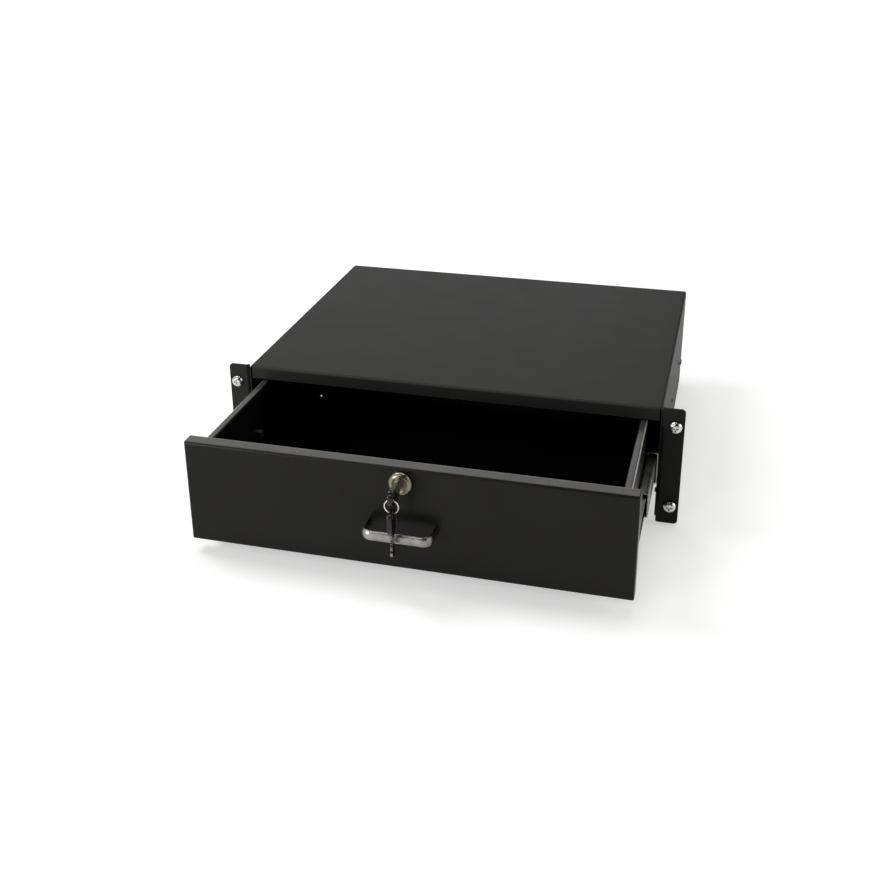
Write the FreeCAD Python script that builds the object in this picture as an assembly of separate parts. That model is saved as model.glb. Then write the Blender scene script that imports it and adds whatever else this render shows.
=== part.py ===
import FreeCAD, Part
import math
import os

# Lockable 3U drawer for a 19 inch rack, in millimetres.
# +X is to the right, +Y goes back into the rack and +Z is up.
# The origin is on the rack's mounting plane, at the middle of the four rack screws.
# The drawer is drawn in its closed place and then pulled out by rest_pull.

# ---- rack panel ----
panel_width = 482.6
panel_height = 128.0
ear_reach = 22.3
ear_thickness = 2.0
ear_corner_r = 4.0
ear_bend_r = 1.5
ear_web_depth = 26.0
ear_web_height = 98.0
screw_edge = 8.75
screw_spacing_z = 88.9
slot_length = 10.3
slot_height = 6.8

# ---- case ----
case_depth = 350.0
case_top = 62.5
case_height = 120.5
case_sheet = 1.2
case_bend_r = 1.3
lip_height = 13.5
lip_end_gap = 0.5
rear_flange = 15.0
rear_clearance = 0.1

# ---- drawer ----
rest_pull = 154.0
front_side_gap = 4.5
front_height = 106.5
front_top = 56.0
front_depth = 14.0
front_sheet = 1.2
front_edge_r = 2.5
front_corner_r = 1.6
front_gap = 0.5
box_sheet = 1.2
box_bend_r = 1.0
box_top = 47.5
box_height = 95.0
box_rear_gap = 30.3
hem_width = 8.0
hem_depth = 6.0
box_flange = 13.0
back_hem = 9.0
back_flange = 12.0
back_gap = 0.4

# ---- ball bearing slides ----
rail_height = 35.0
rail_thickness = 12.7
rail_start = 3.0
rail_rear_gap = 47.0
rail_centre_z = -6.0
rail_sheet = 1.2
rail_bend_r = 0.8
rail_lip = 3.4
rail_web_gap = 1.0
rail_end_short = 1.1
groove_depth = 0.38
outer_ball_r = 1.95
inner_ball_r = 1.70
ball_clearance = 0.10
outer_ball_s = 5.6
inner_ball_s = 8.6
cage_sheet = 0.5
cage_bend_r = 0.4
cage_length = 140.0
cage_start = 80.0
cage_rim = 0.9
cage_hole_clearance = 0.15
cage_balls = 4
bumper_length = 7.0
bumper_gap = 1.0
bumper_clearance = 0.2
bumper_edge_r = 1.5
middle_rail_edge = 0.5

# ---- small fasteners ----
rack_screw_r = 3.0
rack_neck_r = 2.5
rack_screw_length = 16.0
rack_head_r = 6.4
rack_head_height = 4.2
rack_head_rim = 1.3
rack_recess = 2.2
rack_recess_width = 1.4
rack_recess_span = 6.6
m4_r = 2.0
m4_hole_clearance = 0.25
m4_head_r = 3.6
m4_head_height = 2.0
m4_head_rim = 0.5
m4_nut_flats = 7.0
m4_nut_height = 3.2
nut_bore_clearance = 0.05
stud_past_nut = 1.0
rail_screw_tail = 1.6
rail_screw_front = 57.0
rail_screw_back = 23.0
drawer_screw_front = 57.0
drawer_screw_middle = 131.0
drawer_screw_back = 38.0
crown_flat = 0.25
crown_bulge = 0.72
rivet_r = 1.6
rivet_head_r = 3.8
rivet_head_height = 1.2
rivet_head_rim = 0.3
rivet_tail_r = 2.4
rivet_tail_height = 2.0
ear_rivet_y = 14.0
ear_rivet_z = 36.0
rear_rivet_z = -30.0
stud_z = 26.0

# ---- handle ----
handle_centres = 64.0
handle_projection = 22.0
handle_thickness = 4.4
handle_strip = 10.0
handle_bend_r = 7.5
handle_z = -6.0
handle_stud_r = 1.5
handle_stud_root = 2.0
handle_nut_flats = 5.5
handle_nut_height = 2.4
handle_washer_r = 3.5
handle_washer_height = 0.6
washer_bore_clearance = 0.1

# ---- cam lock ----
lock_z = 41.0
lock_face_r = 11.5
lock_face_height = 5.5
lock_face_rim = 1.4
lock_crown_r = 7.4
lock_dish = 0.6
lock_barrel_r = 8.0
lock_length = 20.0
lock_nut_flats = 19.0
lock_nut_height = 4.0
lock_hole_clearance = 0.15
plug_r = 5.6
plug_clearance = 0.06
plug_recess = 0.8
plug_neck = 6.0
plug_tail = 0.2
keyway_end = 0.6
tap_wall = 0.6
cam_thickness = 2.0
cam_width = 13.0
cam_reach = 20.0
cam_fit = 0.02
cam_screw_head_r = 4.4
cam_screw_fit = 0.02
cam_screw_gap = 0.5

# ---- keys and ring ----
blade_width = 8.0
blade_thickness = 2.2
blade_length = 24.0
blade_cut = 1.6
blade_cuts = 5
blade_cut_least = 0.55
blade_cut_slope = 0.35
blade_shoulder = 1.0
blade_tip = 2.0
blade_nose = 3.0
blade_plain = 5.0
keyway_clearance = 0.15
bow_length = 24.5
bow_width = 16.0
bow_thickness = 4.5
bow_corner_r = 6.5
bow_edge_r = 0.8
bow_hole_r = 3.0
bow_hole_edge = 5.0
bow_blade_socket = 8.0
key_stand_off = 5.0
ring_r = 6.4
ring_wire_r = 0.7
ring_gap = 0.35

# ---- how far a cutter runs past what it cuts, and the reach of a touch test ----
over = 1.0
touch = 0.01

# ---- places worked out from the sizes above ----
V = FreeCAD.Vector
case_half = panel_width / 2 - ear_reach
case_inner = case_half - case_sheet
case_bottom = case_top - case_height
screw_x = panel_width / 2 - screw_edge
screw_z = screw_spacing_z / 2
front_half = case_half - front_side_gap
lip_bottom = case_top - lip_height
front_face_y = -front_gap - front_depth
front_inner_y = front_face_y + front_sheet
front_back_y = front_face_y + front_depth
front_bottom = front_top - front_height
box_half = case_inner - rail_thickness
box_inner = box_half - box_sheet
box_bottom = box_top - box_height
box_rear_y = case_depth - box_rear_gap
stud_x = box_half - (box_flange + box_sheet) / 2
stud_length = box_sheet + m4_nut_height + stud_past_nut
rail_half = rail_height / 2
rail_rear_y = case_depth - rail_rear_gap
rail_length = rail_rear_y - rail_start
rail_screw_y = (rail_start + rail_screw_front, rail_rear_y - rail_screw_back,
                (rail_start + rail_screw_front + rail_rear_y - rail_screw_back) / 2)
drawer_screw_y = (rail_start + drawer_screw_front, rail_start + drawer_screw_middle,
                  rail_rear_y - drawer_screw_back)
moving_rail_length = rail_length - bumper_length - bumper_gap
outer_track_r = outer_ball_r + ball_clearance
inner_track_r = inner_ball_r + ball_clearance
outer_ball_z = rail_half - rail_sheet + groove_depth - outer_track_r
middle_half = outer_ball_z - outer_track_r + groove_depth
inner_ball_z = middle_half - rail_sheet + groove_depth - inner_track_r
inner_half = inner_ball_z - inner_track_r + groove_depth
middle_web_s = rail_sheet + rail_web_gap
handle_leg_x = handle_centres / 2
plug_rear_y = front_face_y + lock_length + plug_tail
cam_rear_y = plug_rear_y + cam_thickness
key_axis_y = front_face_y - lock_face_height - key_stand_off
key_hole_y = key_axis_y - bow_length + bow_hole_edge
keyway_end_y = key_axis_y + blade_length + keyway_end
tap_start_y = keyway_end_y + tap_wall


# ---- helpers ----
def at(u, v, w, plane):
    """Point u, v of a sketch plane, w along the plane's normal."""
    if plane == "xz":
        return V(u, w, v)
    if plane == "yz":
        return V(w, u, v)
    return V(u, v, w)


def block(x0, x1, y0, y1, z0, z1):
    return Part.makeBox(x1 - x0, y1 - y0, z1 - z0, V(x0, y0, z0))


def rod(radius, start, end):
    """Cylinder from one point to another."""
    run = end.sub(start)
    return Part.makeCylinder(radius, run.Length, start, run)


def fuse(shapes):
    whole = shapes[0]
    if len(shapes) > 1:
        whole = shapes[0].fuse(shapes[1:])
    return whole.removeSplitter()


def group(shapes):
    return Part.makeCompound(shapes)


def mirror_x(shape):
    return shape.mirror(V(0, 0, 0), V(1, 0, 0))


def unit(a, b):
    run = math.hypot(b[0] - a[0], b[1] - a[1])
    return ((b[0] - a[0]) / run, (b[1] - a[1]) / run)


def skin_edges(points, bend, shift, plane, w):
    """Runs and bends of a folded line, moved sideways by shift (left is positive)."""
    edges = []
    first = unit(points[0], points[1])
    here = (points[0][0] - first[1] * shift, points[0][1] + first[0] * shift)
    for i in range(1, len(points) - 1):
        corner = points[i]
        before = unit(points[i - 1], corner)
        after = unit(corner, points[i + 1])
        cross = before[0] * after[1] - before[1] * after[0]
        turn = math.acos(before[0] * after[0] + before[1] * after[1])
        side = 1 if cross > 0 else -1
        setback = bend * math.tan(turn / 2)
        a = (corner[0] - before[0] * setback, corner[1] - before[1] * setback)
        b = (corner[0] + after[0] * setback, corner[1] + after[1] * setback)
        centre = (a[0] - before[1] * side * bend, a[1] + before[0] * side * bend)
        radius = bend - side * shift
        out = unit(centre, corner)
        start = (a[0] - before[1] * shift, a[1] + before[0] * shift)
        middle = (centre[0] + out[0] * radius, centre[1] + out[1] * radius)
        end = (b[0] - after[1] * shift, b[1] + after[0] * shift)
        edges += straight(here, start, plane, w)
        arc = Part.Arc(at(*start, w, plane), at(*middle, w, plane), at(*end, w, plane))
        edges.append(arc.toShape())
        here = end
    last = unit(points[-2], points[-1])
    stop = (points[-1][0] - last[1] * shift, points[-1][1] + last[0] * shift)
    return edges + straight(here, stop, plane, w)


def straight(a, b, plane, w):
    """A run between two sketch points, or nothing where two bends meet."""
    if math.hypot(b[0] - a[0], b[1] - a[1]) < 1e-6:
        return []
    return [Part.LineSegment(at(*a, w, plane), at(*b, w, plane)).toShape()]


def folded_sheet(points, thickness, inner_bend, plane, w, length):
    """Sheet of one thickness folded along a mid-line, then drawn out by length."""
    bend = inner_bend + thickness / 2
    left = skin_edges(points, bend, thickness / 2, plane, w)
    right = skin_edges(points, bend, -thickness / 2, plane, w)
    caps = []
    for pick in (0, -1):
        a = left[pick].Vertexes[pick].Point
        b = right[pick].Vertexes[pick].Point
        caps.append(Part.LineSegment(a, b).toShape())
    wire = Part.Wire(Part.__sortEdges__(left + right + caps))
    normal = at(0, 0, length, plane)
    return Part.Face(wire).extrude(normal)


def fillet_where(shape, radius, test):
    """Round the edges whose middle point passes the test."""
    chosen = []
    for edge in shape.Edges:
        if test(edge.CenterOfMass, edge):
            chosen.append(edge)
    return shape.makeFillet(radius, chosen)


def runs_along(edge, axis):
    ends = [vertex.Point for vertex in edge.Vertexes]
    if len(ends) < 2:
        return False
    run = ends[1].sub(ends[0])
    return abs(abs(run.normalize().dot(axis)) - 1) < 1e-6


def across(axis):
    return V(0, 0, 1) if abs(axis.z) < 0.5 else V(1, 0, 0)


def turned(profile, start, axis):
    """Solid of revolution from (radius, distance along the axis) points.

    A pair of such points is an arc through the first of them to the second.
    """
    side = across(axis)

    def spot(point):
        return start + side * point[0] + axis * point[1]

    here = spot(profile[0])
    edges = []
    for item in profile[1:] + profile[:1]:
        if isinstance(item[0], tuple):
            there = spot(item[1])
            edges.append(Part.Arc(here, spot(item[0]), there).toShape())
        else:
            there = spot(item)
            edges.append(Part.LineSegment(here, there).toShape())
        here = there
    return Part.Face(Part.Wire(edges)).revolve(start, axis, 360)


def dome(outer_r, inner_r, rim, height):
    """Arc of a rounded head, from the rim's outer edge to its crown."""
    middle = (inner_r + (outer_r - inner_r) * crown_bulge, -rim - (height - rim) * crown_bulge)
    return (middle, (inner_r, -height))


def domed_screw(head_r, head_height, rim, shank_r, length, seat, axis):
    """Pan-head screw: axis points from the head's seat along the shank."""
    profile = [
        (0, length),
        (shank_r, length),
        (shank_r, 0),
        (head_r, 0),
        (head_r, -rim),
        dome(head_r, head_r * crown_flat, rim, head_height),
        (0, -head_height),
    ]
    return turned(profile, seat, axis)


def hex_nut(flats, height, bore_r, start, axis):
    """Hexagon nut on a shank: start is its bearing face, axis leads away from it."""
    side = across(axis)
    other = axis.cross(side)
    corner_r = flats / math.sqrt(3)
    points = []
    for i in range(6):
        angle = math.radians(60 * i)
        points.append(start + side * (corner_r * math.cos(angle)) + other * (corner_r * math.sin(angle)))
    nut = Part.Face(Part.makePolygon(points + [points[0]])).extrude(axis * height)
    return nut.cut(rod(bore_r, start - axis * over, start + axis * (height + over)))


def washer(outer_r, inner_r, height, start, axis):
    disc = rod(outer_r, start, start + axis * height)
    return disc.cut(rod(inner_r, start - axis * over, start + axis * (height + over)))


# ---- case ----
def make_cover():
    mid = case_sheet / 2
    sides = [
        (-case_half + mid, case_bottom),
        (-case_half + mid, case_top - mid),
        (case_half - mid, case_top - mid),
        (case_half - mid, case_bottom),
    ]
    shell = folded_sheet(sides, case_sheet, case_bend_r, "xz", 0, case_depth)
    bend_out = case_bend_r + case_sheet
    lip_half = case_half - bend_out
    mouth = block(-lip_half, lip_half, -over, bend_out, lip_bottom, case_top + over)
    lip_path = [(bend_out, case_top - mid), (mid, case_top - mid), (mid, lip_bottom)]
    lip_half -= lip_end_gap
    lip = folded_sheet(lip_path, case_sheet, case_bend_r, "yz", -lip_half, 2 * lip_half)
    cover = fuse([shell.cut(mouth), lip])
    return cover.cut(group(case_side_holes()))


def case_side_holes():
    holes = []
    clear = m4_hole_clearance
    for x0 in (-case_half - over, case_inner - over):
        x1 = x0 + case_sheet + 2 * over
        for y in rail_screw_y:
            holes.append(rod(m4_r + clear, V(x0, y, rail_centre_z), V(x1, y, rail_centre_z)))
        for y, z in ear_rivet_places() + [rear_rivet_place()]:
            holes.append(rod(rivet_r + clear, V(x0, y, z), V(x1, y, z)))
    return holes


def make_rear_panel():
    inner = case_inner - rear_clearance
    top = case_top - case_sheet - rear_clearance
    mid = case_sheet / 2
    path = [
        (-inner + mid, case_depth - rear_flange),
        (-inner + mid, case_depth - mid),
        (inner - mid, case_depth - mid),
        (inner - mid, case_depth - rear_flange),
    ]
    bend_out = case_bend_r + case_sheet
    wall = folded_sheet(path, case_sheet, case_bend_r, "xy", case_bottom, top - bend_out - case_bottom)
    top_path = [
        (case_depth - rear_flange, top - mid),
        (case_depth - mid, top - mid),
        (case_depth - mid, top - bend_out),
    ]
    span = inner - bend_out - lip_end_gap
    cap = folded_sheet(top_path, case_sheet, case_bend_r, "yz", -span, 2 * span)
    panel = fuse([wall, cap])
    holes = []
    y, z = rear_rivet_place()
    for side in (-1, 1):
        x = side * (inner - mid)
        holes.append(rod(rivet_r + m4_hole_clearance, V(x - case_sheet, y, z),
                         V(x + case_sheet, y, z)))
    return panel.cut(group(holes))


def ear_rivet_places():
    return [(ear_rivet_y, -ear_rivet_z), (ear_rivet_y, ear_rivet_z)]


def rear_rivet_place():
    return (case_depth - rear_flange / 2, rear_rivet_z)


def blind_rivet(outside_x, inside_x, y, z):
    """Rivet through the sheets at the right: domed head outside, upset tail inside."""
    seat = V(outside_x, y, z)
    grip = outside_x - inside_x
    head = domed_screw(rivet_head_r, rivet_head_height, rivet_head_rim, rivet_r, grip, seat,
                       V(-1, 0, 0))
    tail = rod(rivet_tail_r, V(inside_x, y, z), V(inside_x - rivet_tail_height, y, z))
    return fuse([head, tail])


def both_sides(shapes):
    return shapes + [mirror_x(shape) for shape in shapes]


def make_ear():
    """Right rack ear: a slotted flange in front and a web along the case's side."""
    mid = ear_thickness / 2
    outer = panel_width / 2
    path = [(outer, -mid), (case_half + mid, -mid), (case_half + mid, ear_web_depth)]
    ear = folded_sheet(path, ear_thickness, ear_bend_r, "xy", -panel_height / 2, panel_height)
    notch_y = ear_bend_r
    for low, high in ((-panel_height, -ear_web_height / 2), (ear_web_height / 2, panel_height)):
        ear = ear.cut(block(case_half - over, case_half + ear_thickness + over, notch_y,
                            ear_web_depth + over, low, high))
    ear = fillet_where(ear, ear_corner_r,
                       lambda c, e: c.x > outer - touch and runs_along(e, V(0, 1, 0)))
    ear = fillet_where(ear, ear_corner_r,
                       lambda c, e: c.y > ear_web_depth - touch and runs_along(e, V(1, 0, 0)))
    for z in (-screw_z, screw_z):
        ear = ear.cut(make_slot(screw_x, z))
    for y, z in ear_rivet_places():
        ear = ear.cut(rod(rivet_r + m4_hole_clearance, V(case_half - over, y, z),
                          V(case_half + ear_thickness + over, y, z)))
    return ear


def make_slot(x, z):
    end_r = slot_height / 2
    reach = slot_length / 2 - end_r
    y0 = -ear_thickness - over
    bar = block(x - reach, x + reach, y0, over, z - end_r, z + end_r)
    ends = [rod(end_r, V(x + side * reach, y0, z), V(x + side * reach, over, z)) for side in (-1, 1)]
    return fuse([bar] + ends)


def make_rack_screw(x, z):
    """Cross-recess screw with a relieved neck where it passes the ear's slot."""
    axis = V(0, 1, 0)
    seat = V(x, -ear_thickness, z)
    screw = domed_screw(rack_head_r, rack_head_height, rack_head_rim, rack_screw_r,
                        rack_screw_length, seat, axis)
    screw = screw.cut(washer(rack_screw_r + over, rack_neck_r, ear_thickness, seat, axis))
    top = -ear_thickness - rack_head_height
    half = rack_recess_width / 2
    span = rack_recess_span / 2
    for dx, dz in ((span, half), (half, span)):
        screw = screw.cut(block(x - dx, x + dx, top - over, top + rack_recess, z - dz, z + dz))
    return screw


def make_rack_screws():
    screws = []
    for x in (-screw_x, screw_x):
        for z in (-screw_z, screw_z):
            screws.append(make_rack_screw(x, z))
    return group(screws)


def make_ear_rivets():
    outside = case_half + ear_thickness
    return group(both_sides([blind_rivet(outside, case_inner, y, z) for y, z in ear_rivet_places()]))


def make_rear_rivets():
    inside = case_inner - rear_clearance - case_sheet
    return group(both_sides([blind_rivet(case_half, inside, *rear_rivet_place())]))


# ---- slides ----
# s is measured inwards from the case's inner wall; z from the slide's own middle.
def rail_point(s, z):
    return (case_inner - s, rail_centre_z + z)


def channel(outer_s, web_s, half, sheet, bend, lip, y0, length):
    """Channel section with its web at web_s and its flanges reaching to outer_s."""
    mid = sheet / 2
    way = 1 if outer_s > web_s else -1
    web = web_s + way * mid
    tip = outer_s - way * mid if lip > 0 else outer_s
    flange = half - mid
    path = [rail_point(tip, flange), rail_point(web, flange)]
    path += [rail_point(web, -flange), rail_point(tip, -flange)]
    if lip > 0:
        path = [rail_point(tip, half - lip)] + path + [rail_point(tip, lip - half)]
    return folded_sheet(path, sheet, bend, "xz", y0, length)


def ball_tracks(s, ball_z, radius, y0, length):
    tracks = []
    for side in (-1, 1):
        x, z = rail_point(s, side * ball_z)
        tracks.append(rod(radius, V(x, y0 - over, z), V(x, y0 + length + over, z)))
    return tracks


def make_cabinet_rail():
    rail = channel(rail_thickness - rail_end_short, 0, rail_half, rail_sheet, rail_bend_r,
                   rail_lip, rail_start, rail_length)
    cuts = ball_tracks(outer_ball_s, outer_ball_z, outer_track_r, rail_start, rail_length)
    for y in rail_screw_y:
        cuts.append(countersunk_screw(y))
    return rail.cut(group(cuts))


def countersunk_screw(y):
    """Flat screw that holds the cabinet rail: head flush in the rail, tail outside the case."""
    x, z = rail_point(rail_sheet, 0)
    profile = [
        (0, 0),
        (m4_head_r, 0),
        (m4_r, rail_sheet),
        (m4_r, rail_sheet + case_sheet + rail_screw_tail),
        (0, rail_sheet + case_sheet + rail_screw_tail),
    ]
    return turned(profile, V(x, y, z), V(1, 0, 0))


def make_cabinet_screws():
    return group(both_sides([countersunk_screw(y) for y in rail_screw_y]))


def make_middle_rail():
    tip = inner_ball_s + inner_track_r + middle_rail_edge
    rail = channel(tip, middle_web_s, middle_half, rail_sheet,
                   rail_bend_r, 0, rail_start, moving_rail_length)
    cuts = ball_tracks(outer_ball_s, outer_ball_z, outer_track_r, rail_start, moving_rail_length)
    cuts += ball_tracks(inner_ball_s, inner_ball_z, inner_track_r, rail_start, moving_rail_length)
    return rail.cut(group(cuts))


def make_drawer_rail():
    tip = middle_web_s + rail_sheet + 2 * rail_web_gap - cage_sheet
    rail = channel(tip, rail_thickness, inner_half, rail_sheet, rail_bend_r, 0,
                   rail_start, moving_rail_length)
    cuts = ball_tracks(inner_ball_s, inner_ball_z, inner_track_r, rail_start, moving_rail_length)
    x, z = rail_point(rail_thickness, 0)
    for y in drawer_screw_y:
        cuts.append(rod(m4_r + m4_hole_clearance, V(x - over, y, z), V(x + rail_sheet + over, y, z)))
    return rail.cut(group(cuts))


def ball_places():
    pitch = cage_length / cage_balls
    return [cage_start + pitch * (i + 0.5) for i in range(cage_balls)]


def make_cage(ball_s, ball_z, ball_r, web_s):
    hole_r = ball_r + cage_hole_clearance
    tip = ball_s + hole_r + cage_rim
    cage = channel(tip, web_s, ball_z + cage_sheet / 2, cage_sheet, cage_bend_r, 0,
                   cage_start, cage_length)
    holes = []
    for y in ball_places():
        for side in (-1, 1):
            x, z = rail_point(ball_s, side * ball_z)
            holes.append(rod(hole_r, V(x, y, z - over), V(x, y, z + over)))
    return cage.cut(group(holes))


def make_balls(ball_s, ball_z, ball_r):
    balls = []
    for y in ball_places():
        for side in (-1, 1):
            x, z = rail_point(ball_s, side * ball_z)
            balls.append(Part.makeSphere(ball_r, V(x, y, z)))
    return group(balls)


def make_outer_cage():
    web_s = rail_sheet + (rail_web_gap - cage_sheet) / 2
    return make_cage(outer_ball_s, outer_ball_z, outer_ball_r, web_s)


def make_inner_cage():
    web_s = middle_web_s + rail_sheet + (rail_web_gap - cage_sheet)
    return make_cage(inner_ball_s, inner_ball_z, inner_ball_r, web_s)


def make_bumpers():
    """Plastic stop pressed into the back end of each cabinet rail."""
    half = rail_half - rail_sheet - bumper_clearance
    x1, z0 = rail_point(rail_sheet + bumper_clearance, -half)
    x0, z1 = rail_point(rail_thickness - rail_end_short - rail_sheet - bumper_clearance, half)
    stop = block(x0, x1, rail_rear_y - bumper_length, rail_rear_y, z0, z1)
    stop = fillet_where(stop, bumper_edge_r, lambda c, e: runs_along(e, V(0, 1, 0)))
    return group(both_sides([stop]))


# ---- drawer box ----
def make_box():
    mid = box_sheet / 2
    x = box_half - mid
    top = box_top - mid
    hem = box_half - hem_width + mid
    path = [
        (-hem, box_top - hem_depth),
        (-hem, top),
        (-x, top),
        (-x, box_bottom + mid),
        (x, box_bottom + mid),
        (x, top),
        (hem, top),
        (hem, box_top - hem_depth),
    ]
    flange_run = box_bend_r + box_sheet
    start = front_inner_y + flange_run
    wrap = folded_sheet(path, box_sheet, box_bend_r, "xz", start, box_rear_y - start)
    low = box_bottom + flange_run
    high = box_top - hem_depth
    side_path = [(box_half - box_flange, front_inner_y + mid), (x, front_inner_y + mid), (x, start)]
    side = folded_sheet(side_path, box_sheet, box_bend_r, "xy", low, high - low)
    reach = box_half - flange_run
    foot_path = [(front_inner_y + mid, box_bottom + box_flange), (front_inner_y + mid, box_bottom + mid),
                 (start, box_bottom + mid)]
    foot = folded_sheet(foot_path, box_sheet, box_bend_r, "yz", -reach + box_flange,
                        2 * (reach - box_flange))
    box = fuse([wrap, side, mirror_x(side), foot])
    holes = []
    hole_r = m4_r + m4_hole_clearance
    for side in (-1, 1):
        for z in (-stud_z, stud_z):
            holes.append(rod(hole_r, V(side * stud_x, front_inner_y - over, z),
                             V(side * stud_x, front_inner_y + box_sheet + over, z)))
        for y in drawer_screw_y:
            holes.append(rod(hole_r, V(side * (box_inner - over), y, rail_centre_z),
                             V(side * (box_half + over), y, rail_centre_z)))
    return box.cut(group(holes))


def make_box_back():
    """Back wall between the sides, with flanges against them and a hem along the top."""
    mid = box_sheet / 2
    outer = box_inner - rear_clearance
    top = box_top - hem_depth - back_gap
    bottom = box_bottom + box_sheet + rear_clearance
    wall_y = box_rear_y - mid
    bend_out = box_bend_r + box_sheet
    path = [(-outer + mid, box_rear_y - back_flange), (-outer + mid, wall_y),
            (outer - mid, wall_y), (outer - mid, box_rear_y - back_flange)]
    low = bottom + bend_out
    wall = folded_sheet(path, box_sheet, box_bend_r, "xy", low, top - bend_out - low)
    span = outer - bend_out
    hem = [(box_rear_y - back_hem, top - mid), (wall_y, top - mid), (wall_y, top - bend_out)]
    foot = [(box_rear_y - back_hem, bottom + mid), (wall_y, bottom + mid), (wall_y, low)]
    edges = [folded_sheet(line, box_sheet, box_bend_r, "yz", -span, 2 * span) for line in (hem, foot)]
    return fuse([wall] + edges)


def make_front():
    """Pressed front panel: a shallow pan whose edges turn back to meet the case."""
    outer = block(-front_half, front_half, front_face_y, front_back_y, front_bottom, front_top)
    outer = round_pan(outer, front_face_y, front_edge_r, front_corner_r)
    t = front_sheet
    inner = block(-front_half + t, front_half - t, front_inner_y, front_back_y + over,
                  front_bottom + t, front_top - t)
    inner = round_pan(inner, front_inner_y, front_edge_r - t, front_corner_r - t)
    pan = outer.cut(inner)
    studs = []
    for side in (-1, 1):
        for z in (-stud_z, stud_z):
            studs.append(rod(m4_r, V(side * stud_x, front_inner_y - t / 2, z),
                             V(side * stud_x, front_inner_y + stud_length, z)))
    pan = fuse([pan] + studs)
    before = front_face_y - over
    behind = front_inner_y + over
    holes = [rod(lock_barrel_r + lock_hole_clearance, V(0, before, lock_z), V(0, behind, lock_z))]
    for x in (-handle_leg_x, handle_leg_x):
        holes.append(rod(handle_stud_r + m4_hole_clearance, V(x, before, handle_z),
                         V(x, behind, handle_z)))
    return pan.cut(group(holes))


def round_pan(shape, face_y, edge_r, corner_r):
    shape = fillet_where(shape, corner_r, lambda c, e: runs_along(e, V(0, 1, 0)))
    return fillet_where(shape, edge_r, lambda c, e: abs(c.y - face_y) < touch)


def m4_nut(start, axis):
    return hex_nut(m4_nut_flats, m4_nut_height, m4_r + nut_bore_clearance, start, axis)


def make_front_nuts():
    nuts = []
    for side in (-1, 1):
        for z in (-stud_z, stud_z):
            start = V(side * stud_x, front_inner_y + box_sheet, z)
            nuts.append(m4_nut(start, V(0, 1, 0)))
    return group(nuts)


def make_drawer_screws():
    screws = []
    x, z = rail_point(rail_thickness - rail_sheet, 0)
    for y in drawer_screw_y:
        screws.append(domed_screw(m4_head_r, m4_head_height, m4_head_rim, m4_r,
                                  rail_sheet + stud_length, V(x, y, z), V(-1, 0, 0)))
    return group(both_sides(screws))


def make_drawer_nuts():
    nuts = []
    for y in drawer_screw_y:
        start = V(box_inner, y, rail_centre_z)
        nuts.append(m4_nut(start, V(-1, 0, 0)))
    return group(both_sides(nuts))


# ---- handle ----
def make_handle():
    """Oval bar bent to a bow, with a threaded stud in each leg."""
    mid = handle_thickness / 2
    front_y = front_face_y - handle_projection + mid
    x = handle_leg_x
    path = [(-x, front_face_y), (-x, front_y), (x, front_y), (x, front_face_y)]
    line = Part.Wire(skin_edges(path, handle_bend_r, 0, "xy", handle_z))
    foot = V(-x, front_face_y, handle_z)
    oval = Part.Ellipse(foot + V(0, 0, handle_strip / 2), foot + V(mid, 0, 0), foot)
    bow = line.makePipeShell([Part.Wire([oval.toShape()])], True, False)
    root_y = front_face_y - handle_stud_root
    tip_y = front_inner_y + handle_washer_height + handle_nut_height + stud_past_nut
    studs = [rod(handle_stud_r, V(side * x, root_y, handle_z), V(side * x, tip_y, handle_z))
             for side in (-1, 1)]
    return fuse([bow] + studs)


def make_handle_nuts():
    start_y = front_inner_y + handle_washer_height
    nuts = [hex_nut(handle_nut_flats, handle_nut_height, handle_stud_r + nut_bore_clearance,
                    V(side * handle_leg_x, start_y, handle_z), V(0, 1, 0)) for side in (-1, 1)]
    return group(nuts)


def make_handle_washers():
    rings = [washer(handle_washer_r, handle_stud_r + washer_bore_clearance, handle_washer_height,
                    V(side * handle_leg_x, front_inner_y, handle_z), V(0, 1, 0)) for side in (-1, 1)]
    return group(rings)


# ---- cam lock ----
def make_lock_body():
    """Domed face in front of the panel and a plain barrel behind it, bored for the plug."""
    bore = plug_r + plug_clearance
    profile = [
        (bore, lock_dish - lock_face_height),
        (lock_crown_r, -lock_face_height),
        lock_face_arc(),
        (lock_face_r, 0),
        (lock_barrel_r, 0),
        (lock_barrel_r, lock_length),
        (bore, lock_length),
    ]
    return turned(profile, V(0, front_face_y, lock_z), V(0, 1, 0))


def lock_face_arc():
    """The dome run the other way: from the crown down to the rim."""
    middle, _ = dome(lock_face_r, lock_crown_r, lock_face_rim, lock_face_height)
    return (middle, (lock_face_r, -lock_face_rim))


def make_lock_nut():
    start = V(0, front_inner_y, lock_z)
    return hex_nut(lock_nut_flats, lock_nut_height, lock_barrel_r + nut_bore_clearance, start,
                   V(0, 1, 0))


def make_plug():
    """Turning core of the lock, with the keyway in front and a square neck for the cam."""
    face_y = front_face_y - lock_face_height + plug_recess
    core = rod(plug_r, V(0, face_y, lock_z), V(0, plug_rear_y, lock_z))
    half = plug_neck / 2
    neck = block(-half, half, plug_rear_y, cam_rear_y, lock_z - half, lock_z + half)
    plug = fuse([core, neck])
    half_t = blade_thickness / 2 + keyway_clearance
    half_w = blade_width / 2 + keyway_clearance
    keyway = block(-half_t, half_t, face_y - over, keyway_end_y, lock_z - half_w, lock_z + half_w)
    tap = rod(m4_r, V(0, tap_start_y, lock_z), V(0, cam_rear_y + over, lock_z))
    return plug.cut(keyway).cut(tap)


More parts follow.
